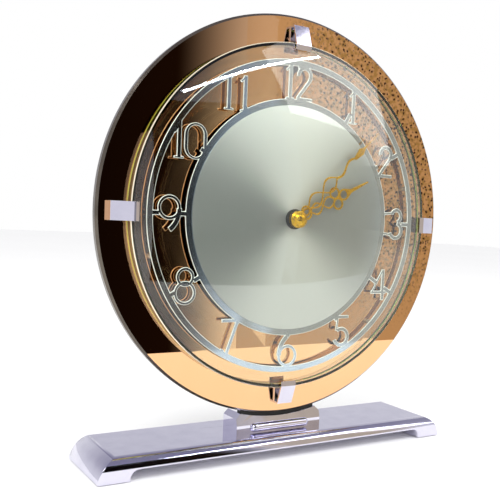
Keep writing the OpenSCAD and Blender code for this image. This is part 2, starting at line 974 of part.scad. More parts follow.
// Small shift of each numeral that seats it against the bands, by hour
numeral_shift = [[0.4, 0.9], [-0.8, -0.4], [0, 0], [0, 0], [0, 0], [0, 0], [0, 0], [0, 0],
  [0, 0], [0, 0], [0, 0], [0, 0]];

module ring_spacers() {
  spacer_r = 1.2;
  color("gray")
    for (i = [0 : 5])
      pin(0, ring_back, spacer_r, polar(ring_r - band_w / 2, 15 + i * 60));
}

module dial_centre() {
  color("gainsboro")
    on_dial(dial_back)
      difference() {
        cylinder(r = dial_r, h = dial_t, $fn = fine_fn);
        translate([0, 0, -1])
          cylinder(r = tube_r, h = dial_t + 2);
      }
}

module centre_sleeve() {
  sleeve_r = 9;
  color("ivory") {
    washer(0, dial_back, sleeve_r, tube_r);
    washer(backing_back, eps, centre_hole_r, tube_r);
  }
}

module centre_tube() {
  flange_t = 0.8;
  flange_r = 6.5;
  color("goldenrod") {
    washer(backing_back - drum_t - flange_t, tube_front, tube_r, tube_bore_r);
    washer(backing_back - drum_t - flange_t, backing_back - drum_t, flange_r, tube_r - eps);
  }
}

module tube_nut() {
  color("black")
    washer(dial_front, tube_front, tube_nut_r, tube_r);
}

module hour_collar() {
  color("black")
    washer(tube_front + 0.1, hour_collar_front, 4.5, hour_pipe_r);
}

// Boss, openwork and point of the hour hand, pointing along +Y
module hour_hand_outline() {
  difference() {
    union() {
      circle(r = 4.1);
      translate([0, 6.4])
        round_ring(2.9, hand_line);
      openwork(8.8, 24, 2.7, 15.2);
      for (side = [-1, 1])
        translate([side * 2.75, 25])
          round_ring(3, hand_line);
      translate([0, 29.8])
        round_ring(2.9, hand_line);
      polygon([[0, 32.2], [2.6, 31.2], [0.9, 34.6], [0.35, hour_l], [-0.35, hour_l],
        [-0.9, 34.6], [-2.6, 31.2]]);
    }
    circle(r = hour_pipe_r);
  }
}

// Pair of crossing waves that leaves eye-shaped openings
module openwork(y0, y1, reach, wave_l) {
  for (side = [-1, 1])
    polygon(wave_points(y0, y1, side * reach, wave_l, hand_line));
}

// Boss, openwork and point of the minute hand, pointing along +Y
module minute_hand_outline() {
  leaf_y = minute_l - 14;
  difference() {
    union() {
      circle(r = 4);
      translate([0, 6])
        round_ring(2.6, hand_line);
      openwork(8.2, 30, 3.4, 21.8);
      polygon(wave_points(29.6, leaf_y - 4, 1.3, 15, hand_line + 0.2));
      polygon([[-0.6, leaf_y - 5.2], [0.9, leaf_y - 5.2], [1.9, leaf_y], [0.5, leaf_y + 3],
        [0.35, minute_l], [-0.35, minute_l], [-0.5, leaf_y + 3], [-1.9, leaf_y]]);
    }
    circle(r = cannon_r);
  }
}

module hour_hand() {
  color("gold")
    on_dial(hour_hand_back)
      rotate(-hour_angle)
        linear_extrude(hand_t)
          hour_hand_outline();
}

module minute_hand() {
  color("gold")
    on_dial(minute_hand_back)
      rotate(-minute_angle)
        linear_extrude(hand_t)
          minute_hand_outline();
}

module minute_collar() {
  color("black")
    washer(minute_collar_back, minute_hand_back, 4.2, cannon_r);
}

module hand_nut() {
  dome_h = hand_nut_t - 1.2;
  dome_ball_r = (hand_nut_r * hand_nut_r + dome_h * dome_h) / (2 * dome_h);
  color("gold")
    on_dial(minute_hand_front)
      difference() {
        union() {
          cylinder(r = hand_nut_r, h = 1.2);
          intersection() {
            translate([0, 0, hand_nut_t - dome_ball_r])
              sphere(r = dome_ball_r);
            cylinder(r = hand_nut_r, h = hand_nut_t + 1);
          }
        }
        translate([0, 0, -1])
          cylinder(r = shaft_r, h = hand_nut_t);
      }
}

cannon_back = front_plate_front + 0.4;
cannon_teeth_t = 1.3;
minute_wheel_front = cannon_back + cannon_teeth_t - 0.2;
hour_wheel_front = backing_back - drum_t - 1.3;

module hour_wheel() {
  color("goldenrod") {
    gear(hour_wheel_front, wheel_t, hour_wheel_teeth, hour_module, wheel_share,
      motion_dir, hour_pipe_bore_r, [0, 0]);
    washer(hour_wheel_front - wheel_t, hour_hand_front, hour_pipe_r, hour_pipe_bore_r);
  }
}

module minute_wheel() {
  bore = stud_r + running;
  color("goldenrod") {
    gear(minute_wheel_front, wheel_t, minute_wheel_teeth, cannon_module, wheel_share,
      motion_dir + 180, bore, minute_wheel_at);
    gear(hour_wheel_front + 0.1, hour_wheel_front + 0.1 - minute_wheel_front + eps,
      minute_pinion_teeth, hour_module, leaf_share,
      motion_dir + 180 + 180 / minute_pinion_teeth, bore, minute_wheel_at);
  }
}

stud_r = 0.7;

module minute_wheel_stud() {
  color("gray") {
    pin(front_plate_back, hour_wheel_front + 0.4, stud_r, minute_wheel_at);
    pin(front_plate_front, minute_wheel_front - wheel_t - 0.2, stud_r + 0.7, minute_wheel_at);
  }
}

module cannon_pinion() {
  color("goldenrod") {
    gear(cannon_back + cannon_teeth_t, cannon_teeth_t, cannon_teeth, cannon_module,
      leaf_share, motion_dir + 180 / cannon_teeth, shaft_r, [0, 0]);
    washer(cannon_back + cannon_teeth_t - eps, minute_hand_front, cannon_r, shaft_r);
  }
}

module set_shaft() {
  color("gray")
    pin(knob_back + 1, minute_hand_front + hand_nut_t - 1.6, shaft_r);
}

module set_knob() {
  color("goldenrod")
    on_dial(knob_back)
      difference() {
        union() {
          cylinder(r = knob_r, h = knob_t - 2);
          translate([0, 0, knob_t - 2 - eps])
            cylinder(r = knob_r * 0.55, h = 2);
        }
        for (i = [0 : 23])
          rotate(i * 15)
            translate([knob_r + 0.1, 0, -1])
              cylinder(r = 0.4, h = knob_t, $fn = 16);
        translate([0, 0, 1])
          cylinder(r = shaft_r, h = knob_t);
      }
}

drum_lip = 4.5;

module drum_case() {
  wall_r = drum_r - drum_t;
  color("slategray")
    on_dial(drum_back)
      difference() {
        cylinder(r = drum_r, h = drum_depth, $fn = fine_fn);
        translate([0, 0, drum_t])
          cylinder(r = wall_r, h = drum_depth - 2 * drum_t, $fn = fine_fn);
        translate([0, 0, -1])
          cylinder(r = drum_r - drum_lip, h = drum_t + 2, $fn = fine_fn);
        cylinder(r = tube_r, h = drum_depth + 1);
        for (i = [0 : 2]) {
          rotate(case_screw_dir + i * 120)
            translate([case_screw_at, 0, drum_depth - drum_t - 1])
              cylinder(r = case_screw_r, h = drum_t + 2);
          rotate(post_dir + i * 120)
            translate([post_at, 0, drum_depth - drum_t - 1])
              cylinder(r = post_r / 2, h = drum_t + 2);
          rotate(cover_screw_dir + i * 120)
            translate([cover_screw_at, 0, -1])
              cylinder(r = case_screw_r, h = drum_t + 2);
        }
      }
}

post_dir = 30;
cover_screw_dir = 60;
cover_screw_at = drum_r - drum_lip / 2 - 0.2;

// Three small pan-head screws on a circle, heads towards the back
module screws_from_behind(under_head, shank_l, at_r, first) {
  for (i = [0 : 2])
    on_dial(under_head, polar(at_r, first + i * 120))
      mirror([0, 0, 1])
        slotted_screw(2, 1.2, case_screw_r, shank_l);
}

module case_screws() {
  color("gray")
    screws_from_behind(backing_back - drum_t, drum_t + backing_t, case_screw_at, case_screw_dir);
}

module cover_screws() {
  color("gray")
    screws_from_behind(cover_back, cover_t + drum_t + 1, cover_screw_at, cover_screw_dir);
}

module movement_posts() {
  thread_back = front_plate_back - 2.2;
  color("goldenrod")
    for (i = [0 : 2]) {
      pin(front_plate_front, backing_back - drum_t, post_r, polar(post_at, post_dir + i * 120));
      pin(thread_back, backing_back, post_r / 2, polar(post_at, post_dir + i * 120));
    }
}

module post_nuts() {
  color("gray")
    for (i = [0 : 2])
      on_dial(front_plate_back - 1.6, polar(post_at, post_dir + i * 120))
        difference() {
          cylinder(r = 2, h = 1.6, $fn = 6);
          translate([0, 0, -1])
            cylinder(r = post_r / 2, h = 4);
        }
}

// Movement plate with its pivot, pillar and post holes
module movement_plate(back) {
  on_dial(back)
    difference() {
      cylinder(r = plate_r, h = plate_t, $fn = fine_fn);
      translate([0, 0, -1])
        cylinder(r = centre_pivot_hole_r, h = plate_t + 2);
      for (at = [third_at, fourth_at, escape_at, lever_at, balance_at, inter_at])
        translate([at[0], at[1], -1])
          cylinder(r = pivot_r + running, h = plate_t + 2, $fn = 32);
      translate([barrel_at[0], barrel_at[1], -1])
        cylinder(r = winding_arbor_r + running, h = plate_t + 2);
      for (i = [0 : 3])
        rotate(45 + i * 90)
          translate([pillar_at, 0, -1])
            cylinder(r = pillar_screw_r, h = plate_t + 2, $fn = 32);
      children();
    }
}

pillar_screw_r = 0.9;

module front_plate() {
  color("goldenrod")
    movement_plate(front_plate_back) {
      for (i = [0 : 2])
        rotate(post_dir + i * 120)
          translate([post_at, 0, -1])
            cylinder(r = post_r / 2, h = plate_t + 2);
      translate([minute_wheel_at[0], minute_wheel_at[1], -1])
        cylinder(r = stud_r, h = plate_t + 2);
    }
}

module back_plate() {
  color("goldenrod")
    difference() {
      union() {
        movement_plate(back_plate_back);
        pin(ratchet_back - 0.2, back_plate_back + eps, click_stud_r, click_at);
        pin(back_plate_back - regulator_t - 0.2, back_plate_front, regulator_boss_r, balance_at);
      }
      pin(back_plate_back - 5, back_plate_front + 1, pivot_r + running, balance_at);
    }
}

regulator_t = 0.7;
regulator_boss_r = 1;

module plate_pillars() {
  color("goldenrod")
    for (i = [0 : 3])
      washer(back_plate_front, front_plate_back, pillar_r, pillar_screw_r,
        polar(pillar_at, 45 + i * 90));
}

module pillar_screws() {
  color("gray")
    for (i = [0 : 3]) {
      on_dial(back_plate_back, polar(pillar_at, 45 + i * 90))
        mirror([0, 0, 1])
          slotted_screw(1.8, 1, pillar_screw_r, plate_t + 6);
      on_dial(front_plate_front, polar(pillar_at, 45 + i * 90))
        slotted_screw(1.8, 1, pillar_screw_r, plate_t + 6);
    }
}

module centre_wheel() {
  color("goldenrod") {
    wheel(centre_level, centre_wheel_teeth, centre_module, third_dir, centre_arbor_bore_r, [0, 0]);
    gear(inter_level + 0.4, 1.2, centre_pinion_teeth, inter_module, leaf_share,
      inter_dir + 180 + 180 / centre_pinion_teeth, centre_arbor_bore_r, [0, 0]);
    washer(back_plate_back, front_plate_front, centre_arbor_r, centre_arbor_bore_r);
  }
}

module third_wheel() {
  color("goldenrod") {
    wheel(third_level, third_wheel_teeth, third_module, fourth_dir, arbor_r - eps, third_at);
    gear(centre_level + 0.3, 1.4, fine_pinion_teeth, centre_module, leaf_share,
      third_dir + 180 + 180 / fine_pinion_teeth, arbor_r - eps, third_at);
    arbor(third_at);
  }
}

module fourth_wheel() {
  color("goldenrod") {
    wheel(fourth_level, fourth_wheel_teeth, fourth_module, escape_dir, fine_arbor_r - eps,
      fourth_at);
    gear(third_level + 0.3, 1.4, fine_pinion_teeth, third_module, leaf_share,
      fourth_dir + 180 + 180 / fine_pinion_teeth, fine_arbor_r - eps, fourth_at);
    arbor(fourth_at, fine_arbor_r);
  }
}

fine_arbor_r = 0.5;

// Escape wheel with slender pointed teeth leaning one way
module escape_wheel() {
  rim_r = escape_r - 1.6;
  color("goldenrod") {
    on_dial(escape_level - 0.5, escape_at)
      linear_extrude(0.5)
        difference() {
          polygon([
            for (i = [0 : escape_teeth - 1])
              let (a = lever_dir + escape_offset + i * 360 / escape_teeth)
              each [
                polar(rim_r, a - 3.2),
                polar(escape_r, a + 7),
                polar(escape_r, a + 8.6),
                polar(rim_r, a + 5)
              ]
          ]);
          circle(r = fine_arbor_r - eps);
          for (i = [0 : 3])
            rotate(i * 90)
              translate([1.75, 0])
                circle(r = 0.65, $fn = 24);
        }
    gear(fourth_level + 0.3, 1.4, fine_pinion_teeth, fourth_module, leaf_share,
      escape_dir + 180 + 180 / fine_pinion_teeth, fine_arbor_r - eps, escape_at);
    arbor(escape_at, fine_arbor_r);
  }
}

escape_offset = 4.2;

// Lever with two pallet arms round the escape wheel and a forked tail
module pallet_lever() {
  span = 40.5;
  pallet_l = 4;
  tail = lever_l - 3.1;
  color("silver") {
    on_dial(lever_level - 0.5, lever_at)
      linear_extrude(0.5)
        difference() {
          union() {
            circle(r = 1.3);
            for (side = [-1, 1])
              rotate(lever_dir + 180 + side * span)
                polygon([[0, -0.6], [pallet_l, -0.2], [pallet_l, 0.2], [0, 0.6]]);
            rotate(balance_dir) {
              translate([0, -0.4])
                square([tail, 0.8]);
              translate([tail - 0.6, -1.1])
                square([1.2, 2.2]);
            }
          }
          rotate(balance_dir)
            translate([tail - 0.1, -0.45])
              square([1.2, 0.9]);
          circle(r = fine_arbor_r - eps);
        }
    arbor(lever_at, fine_arbor_r);
  }
}

module balance_wheel() {
  color("goldenrod") {
    on_dial(balance_level - 1.2, balance_at)
      linear_extrude(1.2) {
        round_ring(balance_r, 1);
        difference() {
          square([2 * balance_r - 1, 1.2], center = true);
          circle(r = fine_arbor_r - eps);
        }
      }
    washer(lever_level - 1.9, lever_level - 1.2, 1.9, fine_arbor_r - eps, balance_at);
    arbor(balance_at, fine_arbor_r);
  }
}

module hairspring() {
  color("steelblue")
    on_dial(balance_level - 2.6, balance_at)
      linear_extrude(0.5) {
        polygon(spiral_points(1.2, 5, 5, 0.14));
        round_ring(1.4, 1.4 - fine_arbor_r);
      }
}

module regulator_lever() {
  color("silver")
    on_dial(back_plate_back - running - regulator_t, balance_at)
      linear_extrude(regulator_t)
        difference() {
          union() {
            circle(r = 2.6);
            rotate(regulator_dir)
              translate([0, -0.6])
                square([9.5, 1.2]);
          }
          circle(r = regulator_boss_r + running);
        }
}

regulator_dir = 130;

module intermediate_wheel() {
  color("goldenrod") {
    wheel(inter_level, inter_wheel_teeth, inter_module, inter_dir, 0.8 - eps, inter_at);
    gear(barrel_front - 0.2, 1.6, inter_pinion_teeth, barrel_module, leaf_share,
      barrel_dir + 180 + 180 / inter_pinion_teeth, 0.8 - eps, inter_at);
    arbor(inter_at, 0.8);
  }
}

barrel_wall = 0.9;
barrel_r = barrel_tip_r - 1.2;

module spring_barrel() {
  color("goldenrod") {
    gear(barrel_front, barrel_teeth_t, barrel_teeth, barrel_module, wheel_share, barrel_dir,
      winding_arbor_r + running, barrel_at);
    washer(barrel_front - barrel_t + 1, barrel_front - barrel_teeth_t + eps, barrel_r,
      barrel_r - barrel_wall, barrel_at);
    washer(barrel_front - barrel_t, barrel_front - barrel_t + 1 + eps, barrel_r,
      winding_arbor_r + running, barrel_at);
  }
}

module mainspring() {
  color("steelblue")
    on_dial(barrel_front - barrel_t + 1.5, barrel_at)
      linear_extrude(barrel_t - barrel_teeth_t - 2)
        polygon(spiral_points(winding_arbor_r + 0.6, barrel_r - barrel_wall - 0.14, 8, 0.3));
}

key_thread_back = key_back + key_wing_h + 1;

module winding_arbor() {
  color("gray") {
    pin(ratchet_back, front_plate_front, winding_arbor_r, barrel_at);
    pin(key_thread_back, ratchet_back + eps, winding_arbor_r - 0.5, barrel_at);
  }
}

module ratchet_wheel() {
  color("silver")
    on_dial(ratchet_back, barrel_at)
      linear_extrude(ratchet_t)
        difference() {
          polygon([
            for (i = [0 : ratchet_teeth - 1])
              let (a = ratchet_first + i * 360 / ratchet_teeth)
              each [
                polar(ratchet_r - 1, a),
                polar(ratchet_r, a + 10)
              ]
          ]);
          circle(r = winding_arbor_r);
        }
}

click_stud_r = 0.8;
click_dir = 249.2;

// Pivoted pawl that drops between the ratchet teeth
module click_pawl() {
  color("silver")
    on_dial(ratchet_back, click_at)
      linear_extrude(ratchet_t)
        difference() {
          union() {
            circle(r = 1.9);
            rotate(click_dir)
              polygon([[0, -1.5], [2.6, -0.35], [5.2, -0.35], [5.2, 0.15], [3.6, 0.9], [0, 1.5]]);
          }
          circle(r = click_stud_r + running);
        }
}

// Bent wire that presses on the click
module click_spring() {
  color("steelblue")
    on_dial(back_plate_back - 0.9, click_at)
      translate([4, -7.6, 0]) {
        rotate(118)
          cube([4, 0.35, 0.9]);
        cylinder(r = 1.1, h = 0.9, $fn = 32);
      }
}

module winding_key() {
  socket_r = winding_arbor_r + 1;
  wing_w = 17;
  color("goldenrod")
    on_dial(0, barrel_at)
      difference() {
        union() {
          translate([0, 0, key_back + key_wing_h])
            cylinder(r = socket_r, h = key_stem_l - 0.8);
          translate([0, 0, key_back + wing_w / 4])
            rotate([90, 0, 0])
              for (side = [-1, 1])
                translate([side * wing_w / 4, 0, 0])
                  key_wing(wing_w / 4);
          translate([0, 0, key_back + key_wing_h / 2 + 1])
            cylinder(r = socket_r * 0.7, h = key_wing_h / 2);
        }
        translate([0, 0, key_thread_back])
          cylinder(r = winding_arbor_r - 0.5, h = key_stem_l + 2);
      }
}

// Round thumb wing with a small hole
module key_wing(r) {
  difference() {
    cylinder(r = r, h = 1.6, center = true);
    cylinder(r = r * 0.35, h = 4, center = true);
  }
  translate([-r, 0, -0.8])
    cube([2 * r, key_wing_h - r + 0.4, 1.6]);
}

module back_cover() {
  vent_l = 12;
  color("slategray")
    on_dial(cover_back)
      difference() {
        cylinder(r = drum_r, h = cover_t, $fn = fine_fn);
        translate([0, 0, -1])
          cylinder(r = shaft_r + 1, h = cover_t + 2);
        translate([barrel_at[0], barrel_at[1], -1])
          cylinder(r = winding_arbor_r + 1.4, h = cover_t + 2);
        for (i = [0 : 2])
          rotate(cover_screw_dir + i * 120)
            translate([cover_screw_at, 0, -1])
              cylinder(r = case_screw_r, h = cover_t + 2);
        for (i = [-2 : 2])
          translate([i * 4 - 0.9, 9, -1])
            cube([1.8, vent_l, cover_t + 2]);
      }
}

base();
foot_felts();
saddle();
saddle_pad();
saddle_bar();
base_screws();
rear_bracket();
bracket_screws();
mirror_disc();
felt_gasket();
backing_plate();
glass_clips();
clip_nuts();
domed_glass();
chapter_ring();
ring_spacers();
dial_centre();
centre_sleeve();
centre_tube();
tube_nut();
hour_collar();
hour_hand();
minute_collar();
minute_hand();
hand_nut();
hour_wheel();
minute_wheel();
minute_wheel_stud();
cannon_pinion();
set_shaft();
set_knob();
drum_case();
case_screws();
movement_posts();
post_nuts();
front_plate();
back_plate();
plate_pillars();
pillar_screws();
centre_wheel();
third_wheel();
fourth_wheel();
escape_wheel();
pallet_lever();
balance_wheel();
hairspring();
regulator_lever();
intermediate_wheel();
spring_barrel();
mainspring();
winding_arbor();
ratchet_wheel();
click_pawl();
click_spring();
winding_key();
back_cover();
cover_screws();
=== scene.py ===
"""A round peach mirror mantel clock on a plated saddle and base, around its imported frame."""

import logging
import math
from collections.abc import Callable
from dataclasses import dataclass, field
from enum import IntEnum

import bmesh
import bpy
from mathutils import Matrix, Vector


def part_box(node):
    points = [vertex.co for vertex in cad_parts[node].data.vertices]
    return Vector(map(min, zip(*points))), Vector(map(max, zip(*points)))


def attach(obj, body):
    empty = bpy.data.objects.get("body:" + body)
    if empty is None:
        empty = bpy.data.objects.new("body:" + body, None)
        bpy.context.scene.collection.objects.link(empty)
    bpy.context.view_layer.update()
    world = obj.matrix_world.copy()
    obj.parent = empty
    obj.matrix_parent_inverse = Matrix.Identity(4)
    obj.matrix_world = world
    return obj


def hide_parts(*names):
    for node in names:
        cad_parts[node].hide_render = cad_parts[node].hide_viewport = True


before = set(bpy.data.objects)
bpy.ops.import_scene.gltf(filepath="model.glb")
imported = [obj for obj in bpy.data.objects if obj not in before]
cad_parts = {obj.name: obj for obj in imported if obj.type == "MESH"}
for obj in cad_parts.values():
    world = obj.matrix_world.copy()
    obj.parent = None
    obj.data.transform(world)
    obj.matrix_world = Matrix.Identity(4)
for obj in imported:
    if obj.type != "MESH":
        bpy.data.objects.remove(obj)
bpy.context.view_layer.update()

log = logging.getLogger("mantel_clock")

MM = 0.001
DIAL_AXIS = (0.0, 1.0, 0.0)


class Slot(IntEnum):
    """The material slots that follow a piece's first one."""

    EDGE = 1
    SHOULDER_HIGHLIGHT = 2


def linear(hex_colour: str) -> tuple[float, float, float, float]:
    """Turns an sRGB hex colour to linear.

    Args:
        hex_colour: six hex digits, with or without a hash.

    Returns:
        Linear red, green, blue and an alpha of 1.
    """
    digits = hex_colour.lstrip("#")
    values = [int(digits[i:i + 2], 16) / 255 for i in (0, 2, 4)]
    curve = [v / 12.92 if v <= 0.04045 else ((v + 0.055) / 1.055) ** 2.4 for v in values]
    return (curve[0], curve[1], curve[2], 1.0)


def add_node(
    tree: bpy.types.NodeTree,
    kind: str,
    settings: dict | None = None,
    inputs: dict | None = None,
) -> bpy.types.Node:
    """Adds a node with its settings and links.

    Args:
        tree: the node tree it goes in.
        kind: the node's type name.
        settings: properties of the node.
        inputs: socket values by name or number; a socket is linked, anything else is set.

    Returns:
        The new node.
    """
    node = tree.nodes.new(kind)
    for name, value in (settings or {}).items():
        setattr(node, name, value)
    for name, value in (inputs or {}).items():
        if isinstance(value, bpy.types.NodeSocket):
            tree.links.new(value, node.inputs[name])
        else:
            node.inputs[name].default_value = value
    return node


def ramp(
    tree: bpy.types.NodeTree,
    source: bpy.types.NodeSocket,
    low: float,
    high: float,
    out_low: float = 0.0,
    out_high: float = 1.0,
) -> bpy.types.NodeSocket:
    """Maps a value smoothly from one range to another.

    Args:
        tree: the node tree.
        source: the value to map.
        low: where the map starts.
        high: where the map ends.
        out_low: the result at the start.
        out_high: the result at the end.

    Returns:
        The mapped value's socket.
    """
    node = add_node(
        tree,
        "ShaderNodeMapRange",
        {"interpolation_type": "SMOOTHSTEP"},
        {"Value": source, "From Min": low, "From Max": high, "To Min": out_low, "To Max": out_high},
    )
    return node.outputs["Result"]


def blend_colour(
    tree: bpy.types.NodeTree,
    share: bpy.types.NodeSocket | float,
    first: tuple | bpy.types.NodeSocket,
    second: tuple | bpy.types.NodeSocket,
) -> bpy.types.NodeSocket:
    """Mixes two colours.

    Args:
        tree: the node tree.
        share: how much of the second colour shows.
        first: the first colour.
        second: the second colour.

    Returns:
        The mixed colour's socket.
    """
    node = add_node(
        tree, "ShaderNodeMix", {"data_type": "RGBA"}, {0: share, 6: first, 7: second}
    )
    return node.outputs[2]


def object_place(tree: bpy.types.NodeTree) -> bpy.types.NodeSocket:
    """Gives the place on the piece, in metres, in the clock's own frame."""
    return add_node(tree, "ShaderNodeTexCoord").outputs["Object"]


def grain(
    tree: bpy.types.NodeTree,
    place: bpy.types.NodeSocket,
    size_mm: float,
    detail: float = 3.0,
) -> bpy.types.NodeSocket:
    """Adds a cloudy pattern of a real size.

    Args:
        tree: the node tree.
        place: where on the piece the pattern is read.
        size_mm: the distance between its light and dark patches.
        detail: how many finer layers it has.

    Returns:
        The pattern's value, from 0 to 1.
    """
    node = add_node(
        tree,
        "ShaderNodeTexNoise",
        inputs={"Vector": place, "Scale": 1 / (size_mm * MM), "Detail": detail},
    )
    return node.outputs[0]


@dataclass(frozen=True)
class Finish:
    """A surface with a colour, a gloss and a fine grain of a real size."""

    label: str
    colour: str
    shade: str
    metallic: float
    roughness: float
    rough_spread: float
    grain_mm: float
    bump_mm: float
    coat: float = 0.0
    sheen: float = 0.0
    ior: float = 1.5

    def shader(self, tree: bpy.types.NodeTree) -> bpy.types.Node:
        """Builds the Principled shader of this finish.

        Args:
            tree: the material's node tree.

        Returns:
            The shader node.
        """
        place = object_place(tree)
        fine = grain(tree, place, self.grain_mm)
        broad = grain(tree, place, self.grain_mm * 9, 2.0)
        inputs = {
            "Base Color": blend_colour(tree, broad, linear(self.colour), linear(self.shade)),
            "Metallic": self.metallic,
            "Roughness": ramp(
                tree, fine, 0.3, 0.7, self.roughness, self.roughness + self.rough_spread
            ),
            "Coat Weight": self.coat,
            "Coat Roughness": 0.05,
            "Sheen Weight": self.sheen,
            "IOR": self.ior,
        }
        if self.bump_mm > 0:
            inputs["Normal"] = add_node(
                tree,
                "ShaderNodeBump",
                inputs={"Height": fine, "Distance": self.bump_mm * MM, "Strength": 1.0},
            ).outputs["Normal"]
        return add_node(tree, "ShaderNodeBsdfPrincipled", inputs=inputs)

    def build(self) -> bpy.types.Material:
        """Makes the material once and returns it."""
        known = bpy.data.materials.get(self.label)
        if known:
            return known
        material = bpy.data.materials.new(self.label)
        material.use_nodes = True
        tree = material.node_tree
        tree.nodes.clear()
        shader = self.shader(tree)
        add_node(tree, "ShaderNodeOutputMaterial", inputs={"Surface": shader.outputs[0]})
        return material


@dataclass(frozen=True)
class PeachMirror(Finish):
    """Peach float glass silvered behind, its silvering peppered by age on one side.

    The eye sees a warm, clear reflection that breaks into dark brown specks near the upper right.
    """

    spot_mm: float = 2.1
    spot_colour: str = "#3A1F0C"
    worn_colour: str = "#C9A066"
    dial_height_mm: float = 114.8
    worn_drop_mm: float = 62.0

    def shader(self, tree: bpy.types.NodeTree) -> bpy.types.Node:
        """Builds the mirror's shader.

        Args:
            tree: the material's node tree.

        Returns:
            The shader node.
        """
        place = object_place(tree)
        split = add_node(tree, "ShaderNodeSeparateXYZ", inputs={"Vector": place})
        edge_noise = grain(tree, place, 16.0, 3.0)
        wander = add_node(
            tree,
            "ShaderNodeMath",
            {"operation": "MULTIPLY_ADD"},
            {0: edge_noise, 1: 0.03, 2: split.outputs["X"]},
        ).outputs[0]
        right = ramp(tree, wander, -0.004, 0.040)
        top = self.dial_height_mm * MM
        high = ramp(tree, split.outputs["Z"], top - self.worn_drop_mm * MM, top)
        area = add_node(
            tree, "ShaderNodeMath", {"operation": "MULTIPLY"}, {0: right, 1: high}
        ).outputs[0]
        wobble = add_node(
            tree,
            "ShaderNodeTexNoise",
            inputs={"Vector": place, "Scale": 1 / (3.5 * MM), "Detail": 2.0},
        ).outputs["Color"]
        shaken = add_node(
            tree,
            "ShaderNodeVectorMath",
            {"operation": "MULTIPLY_ADD"},
            {0: wobble, 1: (0.0035, 0.0, 0.0020), 2: place},
        ).outputs[0]
        cells = add_node(
            tree,
            "ShaderNodeTexVoronoi",
            inputs={"Vector": shaken, "Scale": 1 / (self.spot_mm * MM), "Randomness": 0.85},
        ).outputs["Distance"]
        spots = ramp(tree, cells, 0.46, 0.20)
        pepper = add_node(
            tree, "ShaderNodeMath", {"operation": "MULTIPLY"}, {0: spots, 1: area}
        ).outputs[0]
        clear = blend_colour(
            tree, grain(tree, place, 30.0), linear(self.colour), linear(self.shade)
        )
        worn = add_node(
            tree,
            "ShaderNodeMath",
            {"operation": "MULTIPLY"},
            {0: ramp(tree, grain(tree, place, 2.6, 3.0), 0.42, 0.62), 1: area},
        ).outputs[0]
        body = blend_colour(tree, worn, clear, linear(self.worn_colour))
        hammered = add_node(
            tree,
            "ShaderNodeMath",
            {"operation": "MULTIPLY"},
            {0: grain(tree, place, 1.8, 2.0), 1: area},
        ).outputs[0]
        bump = add_node(
            tree,
            "ShaderNodeBump",
            inputs={"Height": hammered, "Distance": self.bump_mm * MM, "Strength": 1.0},
        ).outputs["Normal"]
        return add_node(
            tree,
            "ShaderNodeBsdfPrincipled",
            inputs={
                "Base Color": blend_colour(tree, pepper, body, linear(self.spot_colour)),
                "Metallic": self.metallic,
                "Roughness": ramp(tree, pepper, 0.0, 1.0, self.roughness, 0.5),
                "Normal": bump,
            },
        )


@dataclass(frozen=True)
class SpunSilver(Finish):
    """Aluminium spun under an abrasive pad and silvered, with its wedges of light painted in: the
    colour runs from painted shade to painted highlight by angle round the centre.
    """

    centre_mm: tuple[float, float] = (0.0, 114.8)
    # Turn of the painted highlight and shade wedges, in radians.
    painted_wedge_turn: float = -3.3

    def shader(self, tree: bpy.types.NodeTree) -> bpy.types.Node:
        """Builds the spun dial's shader.

        Args:
            tree: the material's node tree.

        Returns:
            The shader node.
        """
        place = object_place(tree)
        local = add_node(
            tree,
            "ShaderNodeVectorMath",
            {"operation": "SUBTRACT"},
            {0: place, 1: (self.centre_mm[0] * MM, 0.0, self.centre_mm[1] * MM)},
        ).outputs[0]
        split = add_node(tree, "ShaderNodeSeparateXYZ", inputs={"Vector": local})
        angle = add_node(
            tree,
            "ShaderNodeMath",
            {"operation": "ARCTAN2"},
            {0: split.outputs["Z"], 1: split.outputs["X"]},
        ).outputs[0]
        doubled = add_node(
            tree,
            "ShaderNodeMath",
            {"operation": "MULTIPLY_ADD"},
            {0: angle, 1: 2.0, 2: self.painted_wedge_turn},
        ).outputs[0]
        painted_light_wedge = add_node(
            tree, "ShaderNodeMath", {"operation": "COSINE"}, {0: doubled}
        ).outputs[0]
        radius = add_node(
            tree, "ShaderNodeVectorMath", {"operation": "LENGTH"}, {0: local}
        ).outputs["Value"]
        rings = add_node(
            tree,
            "ShaderNodeCombineXYZ",
            inputs={"X": radius, "Y": add_node(
                tree, "ShaderNodeMath", {"operation": "MULTIPLY"}, {0: angle, 1: 0.0008}
            ).outputs[0]},
        ).outputs[0]
        lines = grain(tree, rings, self.grain_mm, 4.0)
        # Painted highlight and shade: two bright and two dark wedges round the centre, set in the
        # base colour.
        colour = blend_colour(
            tree, ramp(tree, painted_light_wedge, -1.0, 1.0), linear(self.shade), linear(self.colour)
        )
        bump = add_node(
            tree,
            "ShaderNodeBump",
            inputs={"Height": lines, "Distance": self.bump_mm * MM, "Strength": 0.6},
        ).outputs["Normal"]
        return add_node(
            tree,
            "ShaderNodeBsdfPrincipled",
            inputs={
                "Base Color": colour,
                "Metallic": self.metallic,
                "Roughness": ramp(
                    tree, lines, 0.3, 0.7, self.roughness, self.roughness + self.rough_spread
                ),
                "Normal": bump,
            },
        )


